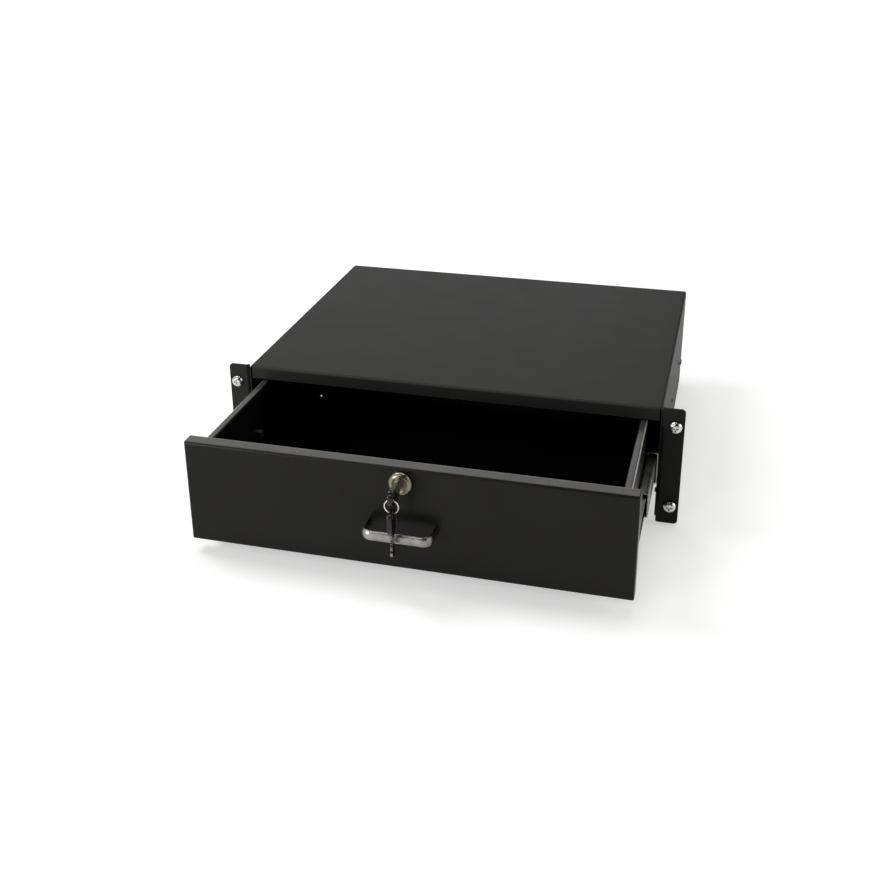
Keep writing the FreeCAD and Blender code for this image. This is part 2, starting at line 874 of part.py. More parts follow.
def make_cam():
    """Tongue that points sideways when the drawer is unlocked."""
    y0 = plug_rear_y
    y1 = cam_rear_y
    end_r = cam_width / 2
    nose_x = end_r - cam_reach
    bar = block(nose_x, 0, y0, y1, lock_z - end_r, lock_z + end_r)
    ends = [rod(end_r, V(x, y0, lock_z), V(x, y1, lock_z)) for x in (0, nose_x)]
    half = plug_neck / 2 + cam_fit
    socket = block(-half, half, y0 - over, y1 + over, lock_z - half, lock_z + half)
    return fuse([bar] + ends).cut(socket)


def make_cam_screw():
    length = cam_rear_y - tap_start_y - cam_screw_gap
    return domed_screw(cam_screw_head_r, m4_head_height, m4_head_rim, m4_r - cam_screw_fit, length,
                       V(0, cam_rear_y, lock_z), V(0, -1, 0))


# ---- keys ----
def key_blade_shape():
    """Blade along +y from the bow's edge, with notches along its lower edge."""
    half = blade_width / 2
    neck = half - blade_shoulder
    tip = blade_length - blade_tip
    nose = half - blade_nose
    points = [(-bow_blade_socket, -neck), (-bow_blade_socket, neck), (0, neck), (0, half)]
    points += [(tip, half), (blade_length, nose), (blade_length, -nose), (tip, -neck)]
    last_cut = tip - blade_shoulder
    pitch = (last_cut - blade_plain - blade_shoulder) / blade_cuts
    for i in range(blade_cuts):
        rise = ((i * 3) % blade_cuts) / (blade_cuts - 1)
        depth = blade_cut * (blade_cut_least + (1 - blade_cut_least) * rise)
        end = last_cut - i * pitch
        points += [(end, -half), (end - pitch * blade_cut_slope, depth - half)]
        points += [(end - pitch * (1 - blade_cut_slope), depth - half)]
    points += [(blade_plain, -half), (0, -half), (0, -neck)]
    corners = [at(u, v, -blade_thickness / 2, "yz") for u, v in points]
    return Part.Face(Part.makePolygon(corners + [corners[0]])).extrude(V(blade_thickness, 0, 0))


def key_bow_shape():
    """Moulded grip behind the blade, with a hole for the ring."""
    half = bow_width / 2
    bow = block(-bow_thickness / 2, bow_thickness / 2, -bow_length, 0, -half, half)
    bow = fillet_where(bow, bow_corner_r, lambda c, e: runs_along(e, V(1, 0, 0)))
    bow = fillet_where(bow, bow_edge_r, lambda c, e: abs(abs(c.x) - bow_thickness / 2) < touch)
    hole_y = -bow_length + bow_hole_edge
    bow = bow.cut(rod(bow_hole_r, V(-bow_thickness, hole_y, 0), V(bow_thickness, hole_y, 0)))
    return bow.cut(key_blade_shape())


def placed_key(shape):
    shape = shape.copy()
    shape.translate(V(0, key_axis_y, lock_z))
    return shape


def ring_sag():
    """How far the ring's curve falls across half of the bow's thickness."""
    return ring_r - math.sqrt(ring_r ** 2 - (bow_thickness / 2) ** 2)


def ring_centre_z():
    """The ring hangs in the key's hole, just clear of the hole's lower edge."""
    return lock_z - bow_hole_r + ring_gap + ring_wire_r + ring_sag() - ring_r


def make_ring():
    return Part.makeTorus(ring_r, ring_wire_r, V(0, key_hole_y, ring_centre_z()), V(0, 1, 0))


def placed_spare(shape):
    """The spare key hangs straight down from the ring's lowest point."""
    wire_z = ring_centre_z() - ring_r
    hole_z = wire_z + ring_sag() + ring_wire_r + ring_gap - bow_hole_r
    shape = shape.copy()
    shape.rotate(V(0, 0, 0), V(1, 0, 0), -90)
    shape.translate(V(0, key_hole_y, hole_z - bow_length + bow_hole_edge))
    return shape


# ---- write every piece ----
def save(name, shape, pull=0.0):
    """Write one piece, moved forwards by its share of the drawer's travel."""
    moved = shape.copy()
    moved.translate(V(0, -pull * rest_pull, 0))
    if not moved.isValid():
        print("invalid shape:", name)
    moved.exportStep(os.path.join("parts", name + ".step"))
    print(name, len(moved.Solids), round(moved.Volume, 1))


def save_pair(name, shape, pull):
    save("right_" + name, shape, pull)
    save("left_" + name, mirror_x(shape), pull)


def build():
    os.makedirs("parts", exist_ok=True)
    save("case_cover", make_cover())
    save("rear_panel", make_rear_panel())
    save("rear_panel_rivets", make_rear_rivets())
    save_pair("rack_ear", make_ear(), 0.0)
    save("rack_ear_rivets", make_ear_rivets())
    save("rack_screws", make_rack_screws())
    save_pair("cabinet_rail", make_cabinet_rail(), 0.0)
    save("cabinet_rail_screws", make_cabinet_screws())
    save("rail_bumpers", make_bumpers())
    save_pair("middle_rail", make_middle_rail(), 0.5)
    save_pair("outer_ball_cage", make_outer_cage(), 0.25)
    save_pair("outer_balls", make_balls(outer_ball_s, outer_ball_z, outer_ball_r), 0.25)
    save_pair("inner_ball_cage", make_inner_cage(), 0.75)
    save_pair("inner_balls", make_balls(inner_ball_s, inner_ball_z, inner_ball_r), 0.75)
    save_pair("drawer_rail", make_drawer_rail(), 1.0)
    save("drawer_rail_screws", make_drawer_screws(), 1.0)
    save("drawer_rail_nuts", make_drawer_nuts(), 1.0)
    save("drawer_box", make_box(), 1.0)
    save("drawer_back", make_box_back(), 1.0)
    save("drawer_front", make_front(), 1.0)
    save("front_panel_nuts", make_front_nuts(), 1.0)
    save("handle", make_handle(), 1.0)
    save("handle_nuts", make_handle_nuts(), 1.0)
    save("handle_washers", make_handle_washers(), 1.0)
    save("lock_body", make_lock_body(), 1.0)
    save("lock_nut", make_lock_nut(), 1.0)
    save("lock_plug", make_plug(), 1.0)
    save("lock_cam", make_cam(), 1.0)
    save("cam_screw", make_cam_screw(), 1.0)
    save("key_blade", placed_key(key_blade_shape()), 1.0)
    save("key_bow", placed_key(key_bow_shape()), 1.0)
    save("key_ring", make_ring(), 1.0)
    save("spare_key_blade", placed_spare(key_blade_shape()), 1.0)
    save("spare_key_bow", placed_spare(key_bow_shape()), 1.0)


build()
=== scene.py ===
import math
import bmesh
import bpy
from mathutils import Matrix, Vector


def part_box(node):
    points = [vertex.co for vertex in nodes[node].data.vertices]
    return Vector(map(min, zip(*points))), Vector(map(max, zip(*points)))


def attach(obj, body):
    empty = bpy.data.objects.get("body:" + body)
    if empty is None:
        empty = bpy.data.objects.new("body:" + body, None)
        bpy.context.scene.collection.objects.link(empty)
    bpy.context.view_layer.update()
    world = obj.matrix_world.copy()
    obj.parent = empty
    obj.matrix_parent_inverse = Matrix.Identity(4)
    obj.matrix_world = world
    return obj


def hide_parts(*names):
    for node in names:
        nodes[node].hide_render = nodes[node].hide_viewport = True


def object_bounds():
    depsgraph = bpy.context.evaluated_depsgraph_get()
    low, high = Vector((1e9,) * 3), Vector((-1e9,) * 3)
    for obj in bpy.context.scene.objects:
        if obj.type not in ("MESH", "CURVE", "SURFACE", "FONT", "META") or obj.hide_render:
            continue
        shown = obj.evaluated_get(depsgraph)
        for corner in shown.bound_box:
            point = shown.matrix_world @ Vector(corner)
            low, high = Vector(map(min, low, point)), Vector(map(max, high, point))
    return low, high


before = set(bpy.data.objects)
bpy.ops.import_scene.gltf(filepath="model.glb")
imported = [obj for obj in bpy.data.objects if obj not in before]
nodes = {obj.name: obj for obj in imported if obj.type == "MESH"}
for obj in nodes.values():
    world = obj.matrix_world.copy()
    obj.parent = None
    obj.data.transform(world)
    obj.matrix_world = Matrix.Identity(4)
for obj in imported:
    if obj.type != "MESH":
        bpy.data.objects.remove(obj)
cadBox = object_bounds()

# Lockable rack drawer, pulled half out: camera, studio, finishes for the parts
# that come from CAD, then the small pieces that are modelled here.
mm = 0.001
sharpAngle = 35              # degrees: edges sharper than this are shaded sharp


def linear(hexColour):
    # sRGB hex to the linear colour that Blender works in
    parts = [int(hexColour[i:i + 2], 16) / 255 for i in (1, 3, 5)]
    return [c / 12.92 if c <= 0.04045 else ((c + 0.055) / 1.055) ** 2.4 for c in parts] + [1]


def addNode(tree, kind, links=None, stops=None, **settings):
    # links: socket name or number -> another socket, a hex colour or a plain value
    node = tree.nodes.new("ShaderNode" + kind)
    for key, value in settings.items():
        setattr(node, key, value)
    for key, value in (links or {}).items():
        if isinstance(value, bpy.types.NodeSocket):
            tree.links.new(value, node.inputs[key])
        else:
            node.inputs[key].default_value = linear(value) if isinstance(value, str) else value
    for i, (place, tone) in enumerate(stops or []):
        bar = node.color_ramp.elements
        stop = bar[i] if i < len(bar) else bar.new(place)
        stop.position = place
        stop.color = linear(tone) if isinstance(tone, str) else (tone, tone, tone, 1)
    return node


def newMaterial(name):
    material = bpy.data.materials.new(name)
    material.use_nodes = True
    material.node_tree.nodes.clear()
    return material, material.node_tree


def dress(material, *names):
    # puts a finish on the CAD nodes with these names
    for name in names:
        for holder in nodes[name].material_slots:
            holder.material = material


def newPiece(name, shape, material, body):
    # a finished bmesh becomes a piece that rides on one body
    data = bpy.data.meshes.new(name)
    shape.to_mesh(data)
    shape.free()
    data.materials.append(material)
    piece = bpy.data.objects.new(name, data)
    bpy.context.scene.collection.objects.link(piece)
    data.set_sharp_from_angle(angle=math.radians(sharpAngle))
    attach(piece, body)
    return piece


# camera
camera = {"place": (0.27183, -1.04989, 0.55502), "azimuth": 15.157, "elevation": 22.528,
          "roll": -0.476, "lens": 47.95, "shiftY": -0.1, "sensor": 36.0, "clip": (0.01, 50.0)}


def makeCamera():
    data = bpy.data.cameras.new("camera")
    data.lens = camera["lens"]
    data.sensor_width = camera["sensor"]
    data.shift_y = camera["shiftY"]
    data.clip_start, data.clip_end = camera["clip"]
    holder = bpy.data.objects.new("camera", data)
    bpy.context.scene.collection.objects.link(holder)
    turn = Matrix.Rotation(math.radians(camera["azimuth"]), 4, "Z")
    turn @= Matrix.Rotation(math.radians(90 - camera["elevation"]), 4, "X")
    turn @= Matrix.Rotation(math.radians(camera["roll"]), 4, "Z")
    holder.matrix_world = Matrix.Translation(camera["place"]) @ turn
    bpy.context.scene.camera = holder


# floor, world and lamps; places in metres, lamp power in watts
studio = {
    "floorHalf": 8.0,
    "floorGap": 0.2 * mm,    # how far the floor stays clear of the lowest piece
    "paper": ("#e6e6e4", "#ececea"),
    "paperCloud": 0.4,       # how far the paper's tone drifts over
    "paperTooth": 2 * mm,    # drawn coarser than real tooth
    "toothDepth": 0.05 * mm,
    "glowNear": 0.46,        # what the floor adds where it is seen, near the object
    "glowFar": 0.86,         # and far away, where the lamps reach it less
    "glowFrom": 0.5,
    "glowTo": 2.6,
    "worldLight": 0.5,
    "lamps": {
        "overhead": ((0.1, 0.5, 2.1), (0.0, 0.0, 0.0), (1.2, 1.0), 12.0),
        "upperLeft": ((-0.9, 0.1, 1.45), (0.0, 0.0, 0.0), (0.5, 0.7), 10.0),
        "handleLight": ((-0.5, -1.45, 1.35), (0.0, -0.19, 0.0), (0.7, 0.7), 4.6),
        "left": ((-1.25, -1.8, 0.3), (-0.2, 0.0, 0.0), (0.7, 0.6), 20.0),
        "right": ((1.8, 0.4, 0.7), (0.1, 0.0, 0.0), (0.8, 1.0), 7.0),
    },
    "cardTones": ("#101010", "#161616"),
    "cardCloud": 0.3,
    # dark cards out of the camera's sight: middle, width and depth, tilt from level
    "cards": {
        "frontCard": ((0.3, -2.4, 1.3), (4.2, 2.6), 90),
        "backCard": ((1.55, 2.6, 0.95), (2.5, 2.0), 90),
        "ceilingCard": ((0.0, -0.2, 2.7), (5.0, 5.0), 0),
    },
}


def lookedAt(tree):
    # 1 where the camera looks, also by way of metal or glass, and 0 for light shed on things
    rays = addNode(tree, "LightPath")
    seen = addNode(tree, "Math", {0: rays.outputs["Is Camera Ray"],
                                  1: rays.outputs["Is Glossy Ray"]}, operation="MAXIMUM")
    seen = addNode(tree, "Math", {0: seen.outputs[0], 1: rays.outputs["Is Transmission Ray"]},
                   operation="MAXIMUM")
    return seen.outputs[0]


def makeStudio():
    scene = bpy.context.scene
    scene.view_settings.view_transform = "Standard"
    floorHeight = cadBox[0].z - studio["floorGap"]

    # matt white studio paper: fine tooth, very slight clouding
    material, tree = newMaterial("matt white studio paper")
    place = addNode(tree, "TexCoord").outputs["Object"]
    clouds = addNode(tree, "TexNoise", {"Vector": place, "Scale": 1 / studio["paperCloud"],
                                        "Detail": 2.0})
    tooth = addNode(tree, "TexNoise", {"Vector": place, "Scale": 1 / studio["paperTooth"]})
    tone = addNode(tree, "ValToRGB", {"Fac": clouds.outputs[0]},
                   stops=[(0.3, studio["paper"][0]), (0.7, studio["paper"][1])])
    grain = addNode(tree, "Bump", {"Height": tooth.outputs[0],
                                   "Distance": studio["toothDepth"]})
    paper = addNode(tree, "BsdfDiffuse", {"Color": tone.outputs[0], "Normal": grain.outputs[0]})
    away = addNode(tree, "VectorMath", {0: place}, operation="LENGTH")
    glow = addNode(tree, "MapRange", {"Value": away.outputs["Value"],
                                      "From Min": studio["glowFrom"], "From Max": studio["glowTo"],
                                      "To Min": studio["glowNear"], "To Max": studio["glowFar"]})
    lift = addNode(tree, "Math", {0: lookedAt(tree), 1: glow.outputs[0]},
                   operation="MULTIPLY")
    shine = addNode(tree, "Emission", {"Strength": lift.outputs[0]})
    both = addNode(tree, "AddShader", {0: paper.outputs[0], 1: shine.outputs[0]})
    addNode(tree, "OutputMaterial", {"Surface": both.outputs[0]})
    makeSheet("floor", studio["floorHalf"], studio["floorHalf"],
              Matrix.Translation((0, 0, floorHeight)), material)

    # matt black cards that give bright metal and rounded folds something dark to mirror
    material, tree = newMaterial("matt black card")
    place = addNode(tree, "TexCoord").outputs["Object"]
    clouds = addNode(tree, "TexNoise", {"Vector": place, "Scale": 1 / studio["cardCloud"]})
    tone = addNode(tree, "ValToRGB", {"Fac": clouds.outputs[0]},
                   stops=[(0.3, studio["cardTones"][0]), (0.7, studio["cardTones"][1])])
    card = addNode(tree, "BsdfDiffuse", {"Color": tone.outputs[0]})
    addNode(tree, "OutputMaterial", {"Surface": card.outputs[0]})
    for name, (middle, (width, depth), tilt) in studio["cards"].items():
        stand = Matrix.Translation(middle) @ Matrix.Rotation(math.radians(tilt), 4, "X")
        sheet = makeSheet(name, width / 2, depth / 2, stand, material)
        sheet.visible_camera = False

    world = bpy.data.worlds.new("world")
    world.use_nodes = True
    scene.world = world
    tree = world.node_tree
    tree.nodes.clear()
    shine = addNode(tree, "MapRange", {"Value": lookedAt(tree),
                                       "To Min": studio["worldLight"], "To Max": 1.0})
    back = addNode(tree, "Background", {"Color": (1, 1, 1, 1), "Strength": shine.outputs[0]})
    addNode(tree, "OutputWorld", {"Surface": back.outputs[0]})

    for name, (place, target, size, power) in studio["lamps"].items():
        lamp = bpy.data.lights.new(name, "AREA")
        lamp.shape = "RECTANGLE"
        lamp.size, lamp.size_y = size
        lamp.energy = power
        holder = bpy.data.objects.new(name, lamp)
        scene.collection.objects.link(holder)
        away = Vector(place) - Vector(target)
        holder.rotation_euler = away.to_track_quat("Z", "Y").to_euler()
        holder.location = place


def makeSheet(name, halfX, halfY, place, material):
    shape = bmesh.new()
    bmesh.ops.create_grid(shape, x_segments=1, y_segments=1, size=1)
    bmesh.ops.scale(shape, verts=shape.verts, vec=(halfX, halfY, 1))
    bmesh.ops.transform(shape, verts=shape.verts, matrix=place)
    data = bpy.data.meshes.new(name)
    shape.to_mesh(data)
    shape.free()
    data.materials.append(material)
    sheet = bpy.data.objects.new(name, data)
    bpy.context.scene.collection.objects.link(sheet)
    return sheet


# Coats and mouldings. Sizes in mm, colours sRGB, each pair is low and high.
# cloud: how far the tone drifts over. grain, depth: the skin that spraying leaves.
# Then the colour for edges and bends, and the share of it that goes on the bends: on edges
# it is partly wear where handling rubs the coat thin and partly a painted highlight, on bends
# it is a painted highlight.
# Then a paler tone painted on level tops, a painted reflection of the bright background,
# and the height below which neither it nor the colour for edges and bends is put on.
coats = {
    # Satin polyester powder coat, sprayed and baked: soft sheen with hardly any texture,
    # a little paler on the folds, where a highlight is painted.
    "satin black powder coat": {
        "tones": ("#20201f", "#262625"), "cloud": 90, "rough": (0.48, 0.51), "gloss": 0.11,
        "wearAndHighlight": "#42413e", "bendHighlight": 0.5, "topShine": "#262625", "marksFrom": -70, "edge": 0.5,
        "grain": 0.9, "depth": 0.01},
    # The same coat on the drawer, a little glossier: its folded rims catch the light, and a bright
    # highlight is painted along their bends and a paler reflection on their level tops.
    "gloss black powder coat": {
        "tones": ("#0d0d0c", "#131312"), "cloud": 80, "rough": (0.235, 0.265), "gloss": 0.46,
        "wearAndHighlight": "#cbcac4", "bendHighlight": 1.0, "topShine": "#3e3d3a", "marksFrom": 45, "edge": 0.8,
        "grain": 1.4, "depth": 0.004},
    # Stoving enamel on the front panel: even, with the faint orange peel of a sprayed coat.
    # Its top return is painted paler, a painted reflection, and its edges carry a pale colour,
    # partly wear and partly a painted highlight.
    "semi-gloss black enamel": {
        "tones": ("#0c0c0b", "#131312"), "cloud": 110, "rough": (0.27, 0.31), "gloss": 0.17,
        "wearAndHighlight": "#a3a29c", "bendHighlight": 0.0, "topShine": "#5a5954", "marksFrom": 54, "edge": 2.0,
        "grain": 1.6, "depth": 0.004},
    # Injection-moulded ABS key grip: shiny with a fine spark-eroded grain.
    "moulded black ABS": {
        "tones": ("#060606", "#0c0c0c"), "cloud": 5, "rough": (0.14, 0.22), "gloss": 0.42,
        "wearAndHighlight": "#3a3a3a", "bendHighlight": 0.0, "topShine": "#0c0c0c", "marksFrom": -70, "edge": 0.3,
        "grain": 0.25, "depth": 0.006},
    # Moulded nylon stops: dull black, waxy.
    "moulded black nylon": {
        "tones": ("#141413", "#1d1d1c"), "cloud": 4, "rough": (0.45, 0.6), "gloss": 0.5,
        "wearAndHighlight": "#262625", "bendHighlight": 0.0, "topShine": "#1d1d1c", "marksFrom": -70, "edge": 0.4,
        "grain": 0.5, "depth": 0.01},
}


# What the coats share, sizes in mm. The first two: how large the patches are of the paler tone
# painted on level tops, a painted reflection, and of the edge and bend colour, wear and painted
# highlight; sheen: how large the patches of roughness are.
# outward: how far out from the middle a bend has to face to get the painted highlight, in mm.
# level: how straight up a top has to face to be painted paler, 1 is straight up.
# bend: how near to x, y or z a face looks where a bend begins, and where it is full.
coatMarks = {"topShinePatches": 22, "wearHighlightPatches": 7, "sheen": 35, "outward": 20, "level": (0.9, 0.99),
            "bend": (0.97, 0.8)}

# how alike the true and the rounded normal are where the edge colour, wear and painted highlight,
# is full, and where it ends
edgeFade = (0.86, 0.985)


def findEdges(tree, width):
    # 1 along edges and 0 on flats, and a normal that rounds the edges by this many mm
    soft = addNode(tree, "Bevel", {"Radius": width * mm}, samples=6)
    flat = addNode(tree, "NewGeometry")
    meet = addNode(tree, "VectorMath", {0: soft.outputs[0], 1: flat.outputs["Normal"]},
                   operation="DOT_PRODUCT")
    edge = addNode(tree, "ValToRGB", {"Fac": meet.outputs["Value"]},
                   stops=[(edgeFade[0], 1.0), (edgeFade[1], 0.0)])
    return edge.outputs[0], soft.outputs[0]


def makeCoat(name):
    look = coats[name]
    material, tree = newMaterial(name)
    place = addNode(tree, "TexCoord").outputs["Object"]
    edge, soft = findEdges(tree, look["edge"])
    clouds = addNode(tree, "TexNoise", {"Vector": place, "Scale": 1 / (look["cloud"] * mm),
                                        "Detail": 3.0})
    tone = addNode(tree, "ValToRGB", {"Fac": clouds.outputs[0]},
                   stops=[(0.3, look["tones"][0]), (0.7, look["tones"][1])])
    flat = addNode(tree, "NewGeometry")
    facing = addNode(tree, "SeparateXYZ", {0: flat.outputs["Normal"]})
    # level tops above a set height are painted paler in patches: a painted reflection of the
    # bright background
    level = addNode(tree, "MapRange", {"Value": facing.outputs["Z"],
                                       "From Min": coatMarks["level"][0],
                                       "From Max": coatMarks["level"][1]})
    height = addNode(tree, "SeparateXYZ", {0: place})
    above = addNode(tree, "MapRange", {"Value": height.outputs["Z"],
                                       "From Min": (look["marksFrom"] - 1) * mm,
                                       "From Max": look["marksFrom"] * mm})
    topShinePatches = addNode(tree, "TexNoise", {"Vector": place, "Scale": 1 / (coatMarks["topShinePatches"] * mm),
                                      "Detail": 5.0})
    topShineShare = addNode(tree, "ValToRGB", {"Fac": topShinePatches.outputs[0]}, stops=[(0.3, 0.75), (0.7, 1.0)])
    topShineMask = addNode(tree, "Math", {0: level.outputs[0], 1: topShineShare.outputs[0]}, operation="MULTIPLY")
    topShineMask = addNode(tree, "Math", {0: topShineMask.outputs[0], 1: above.outputs[0]}, operation="MULTIPLY")
    toneWithTopShine = addNode(tree, "Mix", {0: topShineMask.outputs[0], 6: tone.outputs[0], 7: look["topShine"]},
                     data_type="RGBA")
    # flats face along x, y or z, so what faces between them is a bend in the sheet
    plain = addNode(tree, "VectorMath", {0: flat.outputs["Normal"]}, operation="ABSOLUTE")
    sides = addNode(tree, "SeparateXYZ", {0: plain.outputs[0]})
    most = addNode(tree, "Math", {0: sides.outputs["X"], 1: sides.outputs["Y"]},
                   operation="MAXIMUM")
    most = addNode(tree, "Math", {0: most.outputs[0], 1: sides.outputs["Z"]}, operation="MAXIMUM")
    bend = addNode(tree, "MapRange", {"Value": most.outputs[0],
                                      "From Min": coatMarks["bend"][0],
                                      "From Max": coatMarks["bend"][1],
                                      "To Max": look["bendHighlight"]})
    # only bends that face away from the middle get the painted highlight
    outward = addNode(tree, "VectorMath", {0: place, 1: flat.outputs["Normal"]},
                      operation="DOT_PRODUCT")
    exposed = addNode(tree, "MapRange", {"Value": outward.outputs["Value"], "From Min": 0,
                                         "From Max": coatMarks["outward"] * mm})
    bend = addNode(tree, "Math", {0: bend.outputs[0], 1: exposed.outputs[0]},
                   operation="MULTIPLY")
    edgesAndBends = addNode(tree, "Math", {0: edge, 1: bend.outputs[0]}, operation="MAXIMUM")
    edgesAndBends = addNode(tree, "Math", {0: edgesAndBends.outputs[0], 1: above.outputs[0]},
                     operation="MULTIPLY")
    # wear and painted highlight come in patches a few mm long, not along the whole edge
    wearAndHighlight = addNode(tree, "TexNoise", {"Vector": place, "Scale": 1 / (coatMarks["wearHighlightPatches"] * mm),
                                      "Detail": 4.0})
    patchShare = addNode(tree, "ValToRGB", {"Fac": wearAndHighlight.outputs[0]}, stops=[(0.35, 0.6), (0.65, 1.0)])
    wearHighlightPatches = addNode(tree, "Math", {0: edgesAndBends.outputs[0], 1: patchShare.outputs[0]}, operation="MULTIPLY")
    # edges take the pale colour, partly wear and partly a painted highlight; bends take it as a
    # painted highlight
    colour = addNode(tree, "Mix", {0: wearHighlightPatches.outputs[0], 6: toneWithTopShine.outputs[2], 7: look["wearAndHighlight"]},
                     data_type="RGBA")
    sheen = addNode(tree, "TexNoise", {"Vector": place, "Scale": 1 / (coatMarks["sheen"] * mm),
                                       "Detail": 4.0})
    rough = addNode(tree, "ValToRGB", {"Fac": sheen.outputs[0]},
                    stops=[(0.3, look["rough"][0]), (0.7, look["rough"][1])])
    peel = addNode(tree, "TexNoise", {"Vector": place, "Scale": 1 / (look["grain"] * mm),
                                      "Detail": 1.0})
    skin = addNode(tree, "Bump", {"Height": peel.outputs[0], "Distance": look["depth"] * mm,
                                  "Normal": soft})
    shader = addNode(tree, "BsdfPrincipled", {
        "Base Color": colour.outputs[2], "Roughness": rough.outputs[0], "IOR": 1.5,
        "Specular IOR Level": look["gloss"], "Specular Tint": "#fffbf4",
        "Normal": skin.outputs[0]})
    addNode(tree, "OutputMaterial", {"Surface": shader.outputs[0]})
    return material


# Metals. run: how a pattern is stretched, below 1 along the way the metal was drawn.
# pitch, depth: rolled thread on what lies behind the ears, along y.
metals = {
    # Bright zinc plate over cold-rolled strip: pale warm grey, cloudy, grain along the rail.
    "bright zinc plate": {"tones": ("#8e8d87", "#b7b6af"), "wearAndHighlight": "#dcdbd4", "cloud": 14,
                          "rough": (0.28, 0.42), "grain": 0.6, "run": (1, 0.06, 1), "edge": 0.25},
    # Zinc-plated steel fasteners, gone dull: small turned and pressed parts.
    "dull zinc fastener": {"tones": ("#55544f", "#74736d"), "wearAndHighlight": "#8f8e88", "cloud": 3,
                           "rough": (0.35, 0.5), "grain": 0.4, "run": (1, 1, 1), "edge": 0.2},
    # Phosphated strip of the ball cages: flat dark grey.
    "phosphated strip": {"tones": ("#4c4c49", "#6b6a66"), "wearAndHighlight": "#82817c", "cloud": 8,
                         "rough": (0.38, 0.52), "grain": 0.5, "run": (1, 0.08, 1), "edge": 0.15},
    # Lapped bearing balls: near mirror with a trace of grease.
    "lapped ball steel": {"tones": ("#b4b4b4", "#d6d6d6"), "wearAndHighlight": "#e0e0e0", "cloud": 1.2,
                          "rough": (0.06, 0.13), "grain": 0.4, "run": (1, 1, 1), "edge": 0.05},
    # Nickel-plated pan-head screws: bright, faint turning marks, edges almost white.
    "nickel-plated screw steel": {"tones": ("#b1afa9", "#dbd9d3"), "wearAndHighlight": "#efeeea", "cloud": 3,
                                  "rough": (0.14, 0.26), "grain": 0.3, "run": (1, 1, 1),
                                  "edge": 0.3, "pitch": 1.0, "depth": 0.25},
    # Black oxide rivets: dark with a dull metal glint.
    "black oxide steel": {"tones": ("#222221", "#343332"), "wearAndHighlight": "#55544f", "cloud": 3,
                          "rough": (0.35, 0.5), "grain": 0.4, "run": (1, 1, 1), "edge": 0.2},
    # Satin chrome on the bow handle: brushed lengthwise before plating.
    "satin chrome plate": {"tones": ("#7b7975", "#9d9b96"), "wearAndHighlight": "#c9c8c3", "cloud": 11,
                           "rough": (0.25, 0.31), "grain": 0.35, "run": (0.05, 1, 1),
                           "edge": 0.3},
    # Nickel on stamped brass: warm grey metal with fine scratches from the lock.
    "nickel-plated key brass": {"tones": ("#55534c", "#77746a"), "wearAndHighlight": "#a8a59b", "cloud": 4,
                                "rough": (0.18, 0.3), "grain": 0.3, "run": (1, 1, 0.06),
                                "edge": 0.2},
    # Nickel on hard spring wire: bright, its flats scuffed by the keys sliding round it.
    "nickel-plated spring wire": {"tones": ("#b4b2ac", "#dad8d2"), "wearAndHighlight": "#f0eee8", "cloud": 2,
                                  "rough": (0.12, 0.22), "grain": 0.3, "run": (1, 1, 1),
                                  "edge": 0.1},
}


grainShare = 0.3             # how much of a metal's tone is its grain, the rest is clouds
skinDepth = 0.004            # mm, of the grain in plated metal
threadStart = (0.2, 0.6)     # mm behind the ears' backs, from where to where the thread sets in


def makeMetal(name):
    look = metals[name]
    material, tree = newMaterial(name)
    place = addNode(tree, "TexCoord").outputs["Object"]
    edge, soft = findEdges(tree, look["edge"])
    clouds = addNode(tree, "TexNoise", {"Vector": place, "Scale": 1 / (look["cloud"] * mm),
                                        "Detail": 3.0})
    drawn = addNode(tree, "Mapping", {0: place, "Scale": look["run"]})
    grain = addNode(tree, "TexNoise", {"Vector": drawn.outputs[0],
                                       "Scale": 1 / (look["grain"] * mm), "Detail": 3.0,
                                       "Roughness": 0.6})
    mixed = addNode(tree, "Mix", {0: grainShare, 2: clouds.outputs[0], 3: grain.outputs[0]})
    tone = addNode(tree, "ValToRGB", {"Fac": mixed.outputs[0]},
                   stops=[(0.36, look["tones"][0]), (0.64, look["tones"][1])])
    # edges take a paler colour: partly wear, partly a painted highlight
    colour = addNode(tree, "Mix", {0: edge, 6: tone.outputs[0], 7: look["wearAndHighlight"]}, data_type="RGBA")
    rough = addNode(tree, "ValToRGB", {"Fac": clouds.outputs[0]},
                    stops=[(0.3, look["rough"][0]), (0.7, look["rough"][1])])
    skin = addNode(tree, "Bump", {"Height": grain.outputs[0], "Distance": skinDepth * mm,
                                  "Normal": soft})
    if "pitch" in look:
        along = addNode(tree, "SeparateXYZ", {0: place})
        turns = addNode(tree, "Math", {0: along.outputs["Y"], 1: look["pitch"] * mm},
                        operation="DIVIDE")
        ridge = addNode(tree, "Math", {0: turns.outputs[0], 1: 0.5}, operation="PINGPONG")
        behind = addNode(tree, "MapRange", {"Value": along.outputs["Y"],
                                            "From Min": threadStart[0] * mm,
                                            "From Max": threadStart[1] * mm})
        thread = addNode(tree, "Math", {0: ridge.outputs[0], 1: behind.outputs[0]},
                         operation="MULTIPLY")
        skin = addNode(tree, "Bump", {"Height": thread.outputs[0],
                                      "Distance": look["depth"] * mm * 2,
                                      "Normal": skin.outputs[0]})
    shader = addNode(tree, "BsdfPrincipled", {
        "Base Color": colour.outputs[2], "Metallic": 1.0, "Roughness": rough.outputs[0],
        "Normal": skin.outputs[0]})
    addNode(tree, "OutputMaterial", {"Surface": shader.outputs[0]})
    return material


# Nickel over a turned zinc lock: warm, with turning rings round the lock's axis.
lockNickel = {"tones": ("#665f4f", "#968d79"), "wearAndHighlight": "#e6dfce", "rough": (0.2, 0.32),
              "cloud": 5, "ring": 0.5, "ringDepth": 0.003, "edge": 0.35}


